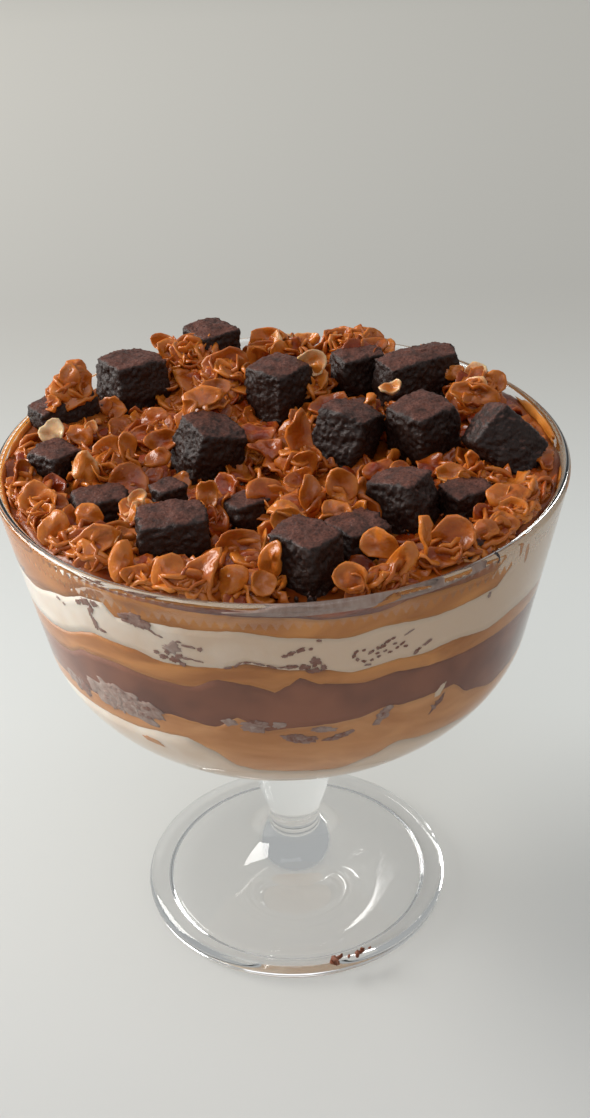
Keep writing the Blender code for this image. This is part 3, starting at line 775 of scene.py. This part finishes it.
# Flakes that stand out: middle (x, y, z), length, width, the way the hollow side faces (direction, lift
# above level), turn of the long axis from level, and tone from deep amber 0 to sugared 1.
STANDING_FLAKES = (
    (-40, -95, 221, 14, 13, -95, 45, 20, 0.5), (-28, -95, 222, 21, 10, -125, 25, 58, 0.35),
    (-52, -90, 218, 10, 7, -90, 45, 10, 0.45), (-15, -76, 221, 19, 10, -90, 30, -4, 0.3),
    (-16, -80, 217, 17, 8, -90, 35, 0, 0.1), (-18, -94, 219, 13, 9, -110, 45, 30, 0.5),
    (-8, -96, 218, 11, 8, -60, 40, -20, 0.45), (-5, -87, 221, 14, 9, -115, 12, 82, 0.45),
    (2, -66, 223, 13, 12, -100, 35, 20, 0.5), (0, -62, 227, 12, 7, -90, 70, 0, 0.6),
    (10, -50, 224, 16, 9, -75, 14, 86, 0.35), (21, -45, 226, 14, 11, -85, 18, 84, 0.4),
    (19, -56, 221, 11, 10, -95, 38, 0, 0.45), (29, -41, 222, 9, 6, -55, 30, 60, 0.3),
    (27, -54, 221, 9, 5, -130, 20, 70, 0.5), (-6, -42, 221, 17, 13, -65, 32, -20, 0.25),
    (3, -50, 221, 12, 8, -90, 50, 8, 0.3), (6, -30, 221, 10, 8, -90, 35, 15, 0.25),
    (7, -6, 226, 21, 11, -62, 12, 84, 0.3), (12, -9, 220, 9, 5, -110, 30, -40, 0.4),
    (-9, 7, 221, 14, 9, -90, 60, 4, 0.15), (-6, -2, 219, 13, 8, -80, 65, -8, 0.15),
    (-30, 21, 231, 17, 9, -100, 45, 5, 0.4), (-36, 14, 227, 14, 7, -150, 15, 75, 0.4),
    (-25, 26, 232, 12, 9, -80, 30, 20, 0.35), (-50, 25, 219, 17, 11, -118, 28, 20, 0.3),
    (-51, 16, 217, 18, 10, -90, 50, -6, 0.2), (-46, 8, 219, 15, 9, -88, 38, 12, 0.3),
    (-22, 64, 224, 19, 16, -90, 34, 10, 0.3), (-22, 54, 219, 18, 13, -92, 25, -6, 0.2),
    (-36, 79, 226, 20, 12, -95, 50, 6, 0.35), (-42, 70, 221, 17, 12, -80, 35, 20, 0.25),
    (-48, 85, 226, 12, 8, -100, 45, -10, 0.45), (-34, 62, 218, 16, 11, -100, 40, 0, 0.15),
    (-84, 36, 231, 17, 10, -100, 12, 84, 0.4), (-78, 38, 231, 15, 7, -40, 15, 78, 0.45),
    (-81, 41, 237, 9, 7, -90, 50, 0, 0.45), (-90, 30, 226, 8, 6, -150, 40, 0, 0.5),
    (-89, 15, 221, 11, 10, -92, 32, 0, 1.0), (-78, 16, 219, 12, 9, -110, 50, 10, 0.4),
    (-74, 18, 221, 6, 5, -80, 40, 30, 0.8), (-73, -18, 222, 14, 10, -95, 20, 82, 0.72),
    (-66, -8, 223, 14, 11, -80, 34, 30, 0.55), (-58, -8, 224, 13, 8, -65, 22, 78, 0.45),
    (-57, -22, 218, 18, 12, -90, 40, -5, 0.2), (-47, -8, 220, 11, 8, -110, 40, 40, 0.35),
    (-88, -40, 221, 16, 13, -100, 45, 15, 0.5), (-83, -61, 220, 16, 10, -95, 20, 80, 0.55),
    (-94, -52, 219, 14, 6, 190, 30, 70, 0.5), (-69, -54, 222, 11, 10, -90, 38, 0, 0.5),
    (-69, -73, 221, 21, 11, -112, 30, 30, 0.45), (-57, -86, 221, 15, 9, -88, 20, 84, 0.5),
    (-63, -66, 218, 13, 9, -70, 50, 10, 0.15), (-52, -44, 223, 8, 6, -95, 35, 30, 0.85),
    (-53, -51, 220, 9, 4, -130, 25, 75, 0.7), (-27, -43, 223, 12, 8, -92, 22, 80, 0.45),
    (-31, -46, 220, 7, 5, -120, 40, 20, 0.55), (-20, -44, 220, 8, 4, -70, 10, 82, 0.35),
    (14, 53, 229, 13, 11, -100, 30, 70, 0.85), (11, 48, 223, 8, 6, -80, 35, 20, 0.6),
    (-4, 92, 224, 14, 10, -95, 40, 0, 0.5), (8, 90, 220, 14, 10, -85, 50, 10, 0.45),
    (13, 96, 221, 11, 7, -100, 45, 0, 0.7), (26, 93, 222, 13, 9, -80, 50, -10, 0.45),
    (37, 92, 223, 13, 8, -95, 45, 10, 0.5), (46, 86, 219, 12, 9, -100, 45, 30, 0.65),
    (34, 66, 228, 17, 12, -90, 62, 15, 0.05), (40, 72, 227, 13, 9, -70, 50, 0, 0.3),
    (78, 33, 222, 21, 10, -90, 42, -6, 0.45), (80, 47, 225, 10, 9, -110, 40, 20, 0.9),
    (87, 42, 222, 14, 9, -100, 38, 40, 0.5), (72, 50, 224, 9, 6, -120, 30, 30, 0.6),
    (62, -30, 221, 12, 7, -100, 45, -10, 0.6), (69, -33, 220, 13, 5, -70, 25, -30, 0.55),
    (70, -25, 223, 10, 4, -60, 5, 86, 0.4), (77, -34, 220, 8, 3, -90, 30, 20, 0.5),
    (80, -50, 223, 19, 9, -85, 72, 4, 0.4), (86, -59, 219, 12, 10, -108, 34, 10, 0.55),
    (92, -50, 221, 13, 5, -30, 15, 78, 0.45), (82, -66, 218, 11, 8, -90, 40, 0, 0.45),
    (72, -57, 218, 12, 9, -70, 55, 0, 0.1), (57, -77, 222, 17, 14, -102, 24, 16, 0.35),
    (48, -80, 223, 15, 5, -35, 12, 72, 0.5), (70, -69, 220, 9, 8, -70, 38, 0, 0.4),
    (55, -88, 217, 15, 9, -80, 50, -5, 0.25), (32, -80, 222, 13, 11, -96, 28, 10, 0.5),
    (40, -98, 221, 20, 8, -122, 26, 62, 0.5), (23, -102, 219, 12, 11, -100, 24, 20, 0.45),
    (33, -93, 218, 12, 7, -80, 45, 0, 0.4), (36, 25, 223, 10, 5, -60, 15, 76, 0.5),
    (20, 34, 218, 18, 12, -90, 64, 0, 0.15), (44, 27, 229, 9, 6, -100, 50, 20, 0.8),
    (36, -17, 217, 12, 8, -90, 60, 20, 0.2), (45, -20, 218, 10, 6, -60, 50, -30, 0.3),
)


def flake_points(draw, length, width, thick, crumple):
    """Points, faces and painted-highlight weights, rising towards the rim, of one level flake: rounded
    outline, cupped, wavy, with a thicker rim.
    """
    lobes = [(order, draw.uniform(0.05, 0.16) / (order - 1), draw.uniform(0, math.tau))
             for order in (2, 3, 4, 5, 7)]
    cup = draw.uniform(-0.22, 0.2) * width
    bend, twist = draw.uniform(-0.16, 0.2) * length, draw.uniform(-0.22, 0.22) * length
    waves, start_wave = draw.choice((2, 3)), draw.uniform(0, math.tau)
    shift = Vector((draw.uniform(0, 90), draw.uniform(0, 90), 0.0))
    points, faces, rim_highlights, rows = [], [], [], []

    def surface(share, angle):
        reach = 1.0 + sum(size * math.cos(order * angle + start) for order, size, start in lobes)
        u, v = share * reach * math.cos(angle), share * reach * math.sin(angle)
        x, y = u * length / 2, v * width / 2
        dents = noise.noise(Vector((x / 3.2, y / 3.2, 0.0)) + shift) * crumple
        dents += share * share * 0.07 * width * math.sin(waves * angle + start_wave)
        return Vector((x, y, cup * (share * share - 0.5) + bend * u * u + twist * u * v + dents))

    under = [(share, -side) for share, side in FLAKE_SIDES[-2::-1]]
    for share, side in FLAKE_SIDES + tuple(under):
        count = FLAKE_AROUND if share else 1
        rows.append(range(len(points), len(points) + count))
        for step in range(count):
            points.append(surface(share, math.tau * step / FLAKE_AROUND) + Vector((0, 0, side * thick)))
            # Weight of the painted highlight along the rim, from 0 in the middle to 1 at the edge.
            rim_highlights.append(share**3)
    for low, high in zip(rows, rows[1:]):
        faces += quads_between(high, low, FLAKE_AROUND)
    return points, faces, rim_highlights


def outside_heap(point):
    """True for a point in the glass or past the rim."""
    return math.hypot(point.x, point.y) > wall_radius(min(point.z, BOWL_HEIGHT), WALL) - 0.6


def facing(direction, lift, turn):
    """Turns a level flake to face a way, with its long axis turned from level."""
    a, e = math.radians(direction), math.radians(lift)
    normal = Vector((math.cos(a) * math.cos(e), math.sin(a) * math.cos(e), math.sin(e)))
    level = Vector((0, 0, 1)).cross(normal)
    level = level.normalized() if level.length > 1e-6 else Vector((1, 0, 0))
    t = math.radians(turn)
    along = level * math.cos(t) + normal.cross(level) * math.sin(t)
    return Matrix((along, normal.cross(along), normal)).transposed()


class FlakeBatch:
    """Gathers flakes into one mesh, each with its own tone, paler towards its rim as a painted highlight."""

    def __init__(self):
        self.points, self.faces, self.tones = [], [], []

    def add(self, draw, centre, length, width, turn, tone):
        """Adds one flake, moved in towards the middle by steps until it is clear of the glass."""
        points, faces, rim_highlights = flake_points(draw, length, width, FLAKE_THICK, FLAKE_CRUMPLE)
        for inward in (1.0, 0.97, 0.94, 0.91, 0.88):
            middle = Vector((centre[0] * inward, centre[1] * inward, centre[2]))
            placed = [turn @ point + middle for point in points]
            if any(outside_heap(point) for point in placed):
                continue
            start = len(self.points)
            self.points += [point * MM for point in placed]
            self.faces += [tuple(start + index for index in face) for face in faces]
            # Painted highlight: the tone rises towards each flake's rim and drops a little in its middle.
            self.tones += [tone + 0.28 * rim - 0.1 for rim in rim_highlights]
            break

    def finish(self, name, material, slot):
        """Makes the piece from the flakes gathered so far."""
        mesh = bpy.data.meshes.new(name)
        mesh.from_pydata(self.points, [], self.faces)
        tones = mesh.attributes.new("tone", "FLOAT", "POINT")
        tones.data.foreach_set("value", self.tones)
        bm = bmesh.new()
        bm.from_mesh(mesh)
        bpy.data.meshes.remove(mesh)
        add_piece(name, bm, material, slot)


def toffee_flake():
    """Toffee-glazed flake: clear amber over gold, darker in the middle and paler at the rim as a painted
    highlight, wet shine.
    """
    material, tree = new_material("toffee_glazed_flake")
    places = add_node(tree, "ShaderNodeTexCoord").outputs["Object"]
    # The tone attribute holds each flake's own tone plus the painted highlight towards its rim.
    tone = add_node(tree, "ShaderNodeAttribute", {"attribute_name": "tone"}).outputs["Fac"]
    patches = add_node(tree, "ShaderNodeTexNoise", Vector=places, Scale=1 / (5 * MM),
                       Detail=3.0).outputs["Fac"]
    amount = add_node(tree, "ShaderNodeMath", {"operation": "MULTIPLY_ADD"}, i0=patches, i1=0.6,
                      i2=tone).outputs[0]
    thin = add_node(tree, "ShaderNodeMapRange", Value=amount, From_Min=0.3, From_Max=0.95).outputs[0]
    glaze = add_node(tree, "ShaderNodeMix", {"data_type": "RGBA"}, i0=thin, i6=linear("#8a2e02"),
                     i7=linear("#cf7727")).outputs[2]
    sugar = add_node(tree, "ShaderNodeMapRange", Value=amount, From_Min=1.05, From_Max=1.4).outputs[0]
    colour = add_node(tree, "ShaderNodeMix", {"data_type": "RGBA"}, i0=sugar, i6=glaze,
                      i7=linear("#f0d0a0")).outputs[2]
    blisters = add_node(tree, "ShaderNodeTexNoise", Vector=places, Scale=1 / (1.8 * MM),
                        Detail=2.0).outputs["Fac"]
    bump = add_node(tree, "ShaderNodeBump", Strength=0.6, Distance=0.5 * MM, Height=blisters)
    shader = add_node(tree, "ShaderNodeBsdfPrincipled", Base_Color=colour, Roughness=0.26,
                      Specular_IOR_Level=0.4,
                      Coat_Weight=0.15, Coat_Roughness=0.06, Subsurface_Weight=0.25,
                      Subsurface_Radius=(1.0, 0.45, 0.12), Subsurface_Scale=1.2 * MM, Normal=bump.outputs[0])
    add_node(tree, "ShaderNodeOutputMaterial", Surface=shader.outputs[0])
    return material


blocks = []
for node in brownie_nodes:
    bm = bmesh.new()
    bm.from_mesh(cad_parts[node].data)
    blocks.append(BVHTree.FromBMesh(bm))
    bm.free()


def inside_cube(place, clearance):
    """True where a flake's middle would be in a brownie cube, or too near one."""
    for block in blocks:
        spot, normal, _, distance = block.find_nearest(Vector(place) * MM)
        if distance < clearance * MM or (Vector(place) * MM - spot).dot(normal) < 0:
            return True
    return False


flake_material = toffee_flake()
draw = random.Random(11)
standing = FlakeBatch()
for x, y, z, length, width, direction, lift, turn, tone in STANDING_FLAKES:
    standing.add(draw, (x, y, z), length, width, facing(direction, lift, turn), tone)
standing.finish("standing_flakes", flake_material, "toffee_glaze")

# Clusters: middle (x, y), how high the top stands, spread across and along, and number of flakes.
CLUSTERS = (
    (-84, 38, 233, 9, 7, 20), (-36, 76, 229, 15, 10, 44), (-22, 60, 226, 12, 9, 32),
    (-47, 22, 216, 10, 9, 16), (-30, 24, 229, 9, 6, 12), (-66, -12, 222, 13, 9, 26),
    (-86, -44, 219, 10, 14, 24), (-66, -68, 220, 12, 12, 28), (-34, -92, 217, 12, 9, 20),
    (-13, -77, 219, 11, 8, 18), (-12, -94, 215, 10, 6, 12), (3, -62, 221, 8, 8, 16),
    (20, -47, 222, 9, 8, 18), (-6, -41, 219, 11, 7, 18), (7, -8, 221, 6, 8, 12), (14, 54, 226, 6, 6, 12),
    (0, 90, 224, 13, 8, 24), (34, 92, 225, 14, 8, 26), (80, 42, 225, 9, 10, 24), (72, -28, 219, 10, 8, 18),
    (84, -54, 219, 10, 10, 22), (60, -78, 219, 12, 8, 20), (36, -94, 217, 12, 8, 20),
    (-26, -46, 219, 7, 6, 10), (-8, 6, 217, 9, 9, 14), (40, 27, 220, 8, 7, 10), (-51, -46, 219, 5, 6, 9),
    (-86, 16, 217, 8, 6, 10), (12, 30, 216, 10, 8, 12), (-98, -22, 218, 6, 14, 16),
    (-92, -40, 219, 7, 12, 14), (-78, -66, 218, 10, 10, 16), (-50, -90, 217, 12, 7, 16),
    (94, -36, 218, 7, 10, 12), (76, -70, 218, 10, 8, 14), (-97, 4, 216, 6, 12, 10),
    (-4, 72, 220, 10, 8, 12), (42, -24, 214, 9, 6, 9),
)
clustered = FlakeBatch()
for middle_x, middle_y, top, spread_x, spread_y, count in CLUSTERS:
    base = bed_height(middle_x, middle_y) - 1.0
    for flake in range(count):
        direction = draw.uniform(0, 360)
        lift = 90 * draw.random() ** 0.8
        level, rise = math.cos(math.radians(lift)), math.sin(math.radians(lift))
        place = Vector((middle_x + spread_x * level * math.cos(math.radians(direction)),
                        middle_y + spread_y * level * math.sin(math.radians(direction)),
                        base + max(2.0, top - 2 - base) * rise * draw.uniform(0.75, 1.0)))
        length = draw.uniform(10, 17)
        spin = facing(direction + draw.uniform(-45, 45), min(88, lift * 0.75 + draw.uniform(-15, 30)),
                      draw.uniform(0, 180))
        tone = min(0.75, max(0.0, draw.gauss(0.30, 0.16)))
        if not inside_cube(place, 1.2):
            clustered.add(draw, place, length, length * draw.uniform(0.6, 0.9), spin, tone)
clustered.finish("clustered_flakes", flake_material, "toffee_glaze")

HEAP_RADIUS = 101.0
# Flakes sunk in the caramel between the clusters: spacing, how far above the bed, least lift, share left out.
FLAKE_COURSES = ((8.5, 0.2, 60, 0.1), (10.5, 1.8, 38, 0.3))
sunk = FlakeBatch()
for spacing, above, least_lift, left_out in FLAKE_COURSES:
    rows = int(HEAP_RADIUS / spacing) + 1
    for row in range(-rows, rows + 1):
        for column in range(-rows, rows + 1):
            x = (column + 0.5 * (row % 2)) * spacing + draw.uniform(-0.4, 0.4) * spacing
            y = row * spacing * 0.87 + draw.uniform(-0.4, 0.4) * spacing
            lift, turn, direction = draw.uniform(least_lift, 88), draw.uniform(0, 180), draw.uniform(0, 360)
            length = draw.uniform(*FLAKE_LENGTHS)
            width = length * draw.uniform(0.62, 0.92)
            tone = min(0.6, max(0.0, draw.gauss(0.22, 0.14)))
            skipped = draw.random() < left_out or math.hypot(x, y) > HEAP_RADIUS
            place = (x, y, bed_height(x, y) + above + 0.2 * length * math.cos(math.radians(lift)))
            if not skipped and not inside_cube(place, 3.0 + above):
                sunk.add(draw, place, length, width, facing(direction, lift, turn), tone)
sunk.finish("sunk_flakes", flake_material, "toffee_glaze")


# ---------------------------------------------------------------------------------------------------
# Loose crumbs. Splinters of toffee flake and crumbs of brownie that fell between the clusters, and a few
# brown specks that dropped on the foot and stayed there.
# ---------------------------------------------------------------------------------------------------

SPLINTERS = 260
SPLINTER_RADIUS = 96.0
CRUMBS_PER_CUBE = 7
FOOT_SPECK_HEIGHT = 9.3
# Specks on the foot: place (x, y) and half length.
FOOT_SPECKS = (
    (13.4, -64.6, 1.4), (14.4, -63.2, 2.0), (15.6, -63.8, 1.6), (16.6, -61.8, 1.4), (17.4, -60.6, 1.0),
    (24.2, -60.4, 1.6), (25.6, -59.4, 1.1), (26.4, -58.0, 1.3), (20.6, -61.4, 0.8), (29.6, -57.0, 0.7),
)


def add_crumb(bm, draw, place, size, tone):
    """One angular crumb, set down a little way into what it lies on."""
    tone_layer = bm.verts.layers.float.get("tone") or bm.verts.layers.float.new("tone")
    made = bmesh.ops.create_icosphere(bm, subdivisions=2, radius=1.0)["verts"]
    turn = Euler([draw.uniform(0, math.tau) for _ in range(3)]).to_matrix()
    shift = Vector((draw.uniform(0, 90), draw.uniform(0, 90), 0.0))
    for vertex in made:
        lump = 1.0 + 0.7 * noise.noise(vertex.co * 1.4 + shift)
        vertex.co = (turn @ Vector((vertex.co.x, vertex.co.y * 0.75, vertex.co.z * 0.5)) * lump * size
                     + Vector(place)) * MM
        vertex[tone_layer] = tone


draw = random.Random(5)
toffee_bits, brownie_bits, foot_bits = bmesh.new(), bmesh.new(), bmesh.new()
for _ in range(SPLINTERS):
    away, direction = SPLINTER_RADIUS * math.sqrt(draw.random()), draw.uniform(0, math.tau)
    x, y = away * math.cos(direction), away * math.sin(direction)
    place = (x, y, bed_height(x, y) + draw.uniform(0.5, 3.5))
    if not inside_cube(place, 0.5):
        add_crumb(toffee_bits, draw, place, draw.uniform(0.7, 2.0), draw.uniform(0.1, 0.7))
for node in brownie_nodes:
    low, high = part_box(node)
    for _ in range(CRUMBS_PER_CUBE):
        x, y = draw.uniform(low.x, high.x) / MM, low.y / MM - draw.uniform(-2, 5)
        place = (x, y, bed_height(x, y) + draw.uniform(0.5, 2.5))
        if not inside_cube(place, 0.3) and not outside_heap(Vector(place)):
            add_crumb(brownie_bits, draw, place, draw.uniform(0.5, 1.6), 0.0)
for x, y, size in FOOT_SPECKS:
    add_crumb(foot_bits, draw, (x, y, FOOT_SPECK_HEIGHT), size, 0.0)
add_piece("toffee_splinters", toffee_bits, flake_material, "toffee_glaze")
add_piece("brownie_crumbs", brownie_bits, brownie_material, "baked_brownie")
add_piece("foot_specks", foot_bits, soaked, "baked_brownie")


# ---------------------------------------------------------------------------------------------------
# Table, light and camera: a plain pale top with painted light and shade that grey it off into the distance,
# daylight from a window at the left and a little behind, and the eye above the rim.
# ---------------------------------------------------------------------------------------------------

TABLE_RADIUS = 6.0
TABLE_DROP = 0.0004


def painted_table():
    """Matt white paint on a smooth board with faint brushed grain; its colour carries painted light and shade
    that change with distance behind the bowl.
    """
    material, tree = new_material("matt_painted_board")
    places = add_node(tree, "ShaderNodeTexCoord").outputs["Object"]
    brushed = add_node(tree, "ShaderNodeMapping", Vector=places, Scale=(900.0, 60.0, 1.0)).outputs[0]
    grain = add_node(tree, "ShaderNodeTexNoise", Vector=brushed, Scale=1.0, Detail=2.0).outputs["Fac"]
    # Painted light and shade along Y: brighter from the front to just behind the bowl, then a grey, warmer
    # painted shade band further back, then paler again far off.
    back = add_node(tree, "ShaderNodeSeparateXYZ", Vector=places).outputs["Y"]
    painted_light_front_to_back = add_node(tree, "ShaderNodeMapRange", Value=back, From_Min=-0.15, From_Max=0.12).outputs[0]
    near = add_node(tree, "ShaderNodeMix", {"data_type": "RGBA"}, i0=painted_light_front_to_back, i6=linear("#cfcfcd"),
                    i7=linear("#dbdddb")).outputs[2]
    painted_shade_behind = add_node(tree, "ShaderNodeMapRange", {"interpolation_type": "SMOOTHSTEP"}, Value=back,
                      From_Min=0.12,
                      From_Max=0.7).outputs[0]
    middle = add_node(tree, "ShaderNodeMix", {"data_type": "RGBA"}, i0=painted_shade_behind, i6=near,
                      i7=linear("#bab8b3")).outputs[2]
    # Far off, the painted shade gives way to a paler grey.
    far = add_node(tree, "ShaderNodeMapRange", Value=back, From_Min=0.7, From_Max=1.7).outputs[0]
    colour = add_node(tree, "ShaderNodeMix", {"data_type": "RGBA"}, i0=far, i6=middle,
                      i7=linear("#d5d2cb")).outputs[2]
    bump = add_node(tree, "ShaderNodeBump", Strength=0.05, Distance=0.2 * MM, Height=grain)
    shader = add_node(tree, "ShaderNodeBsdfPrincipled", Base_Color=colour, Roughness=0.6,
                      Specular_IOR_Level=0.25,
                      Normal=bump.outputs[0])
    add_node(tree, "ShaderNodeOutputMaterial", Surface=shader.outputs[0])
    return material


bm = bmesh.new()
bmesh.ops.create_circle(bm, cap_ends=True, radius=TABLE_RADIUS, segments=96)
bmesh.ops.translate(bm, vec=(0, 0, -TABLE_DROP), verts=bm.verts[:])
table_mesh = bpy.data.meshes.new("table")
bm.to_mesh(table_mesh)
bm.free()
table_mesh.materials.append(painted_table())
table = bpy.data.objects.new("table", table_mesh)
bpy.context.scene.collection.objects.link(table)


def window(name, place, target, width, height, power, colour):
    """A soft rectangle of daylight that faces a target."""
    lamp = bpy.data.lights.new(name, "AREA")
    lamp.shape = "RECTANGLE"
    lamp.size, lamp.size_y = width, height
    lamp.energy = power
    lamp.color = linear(colour)[:3]
    holder = bpy.data.objects.new(name, lamp)
    holder.location = place
    holder.rotation_euler = (Vector(target) - Vector(place)).to_track_quat("-Z", "Y").to_euler()
    bpy.context.scene.collection.objects.link(holder)


window("left_window", (-2.3, 0.6, 1.35), (0, 0, 0.15), 1.5, 1.5, 82.0, "#fffdf9")
window("high_fill", (-0.2, -0.6, 1.8), (0, 0, 0.1), 1.4, 1.4, 6.0, "#f6f9ff")

sky = bpy.data.worlds.new("pale_room")
sky.use_nodes = True
sky.node_tree.nodes["Background"].inputs["Color"].default_value = linear("#cfd2d2")
sky.node_tree.nodes["Background"].inputs["Strength"].default_value = 0.62
bpy.context.scene.world = sky
bpy.context.scene.view_settings.view_transform = "Standard"

EYE = Vector((0.0, -0.53743, 0.49806))
LOOK_DOWN = 31.55
LOOK_RIGHT = 0.42
TILT = -1.91
camera = bpy.data.cameras.new("camera")
camera.lens = 50.73
camera.sensor_width = 36.0
camera.clip_start = 0.01
viewer = bpy.data.objects.new("camera", camera)
level = Euler((math.radians(90 - LOOK_DOWN), 0, math.radians(-LOOK_RIGHT))).to_matrix()
viewer.matrix_world = Matrix.Translation(EYE) @ (level @ Matrix.Rotation(math.radians(TILT), 3, "Z")).to_4x4()
bpy.context.scene.collection.objects.link(viewer)
bpy.context.scene.camera = viewer
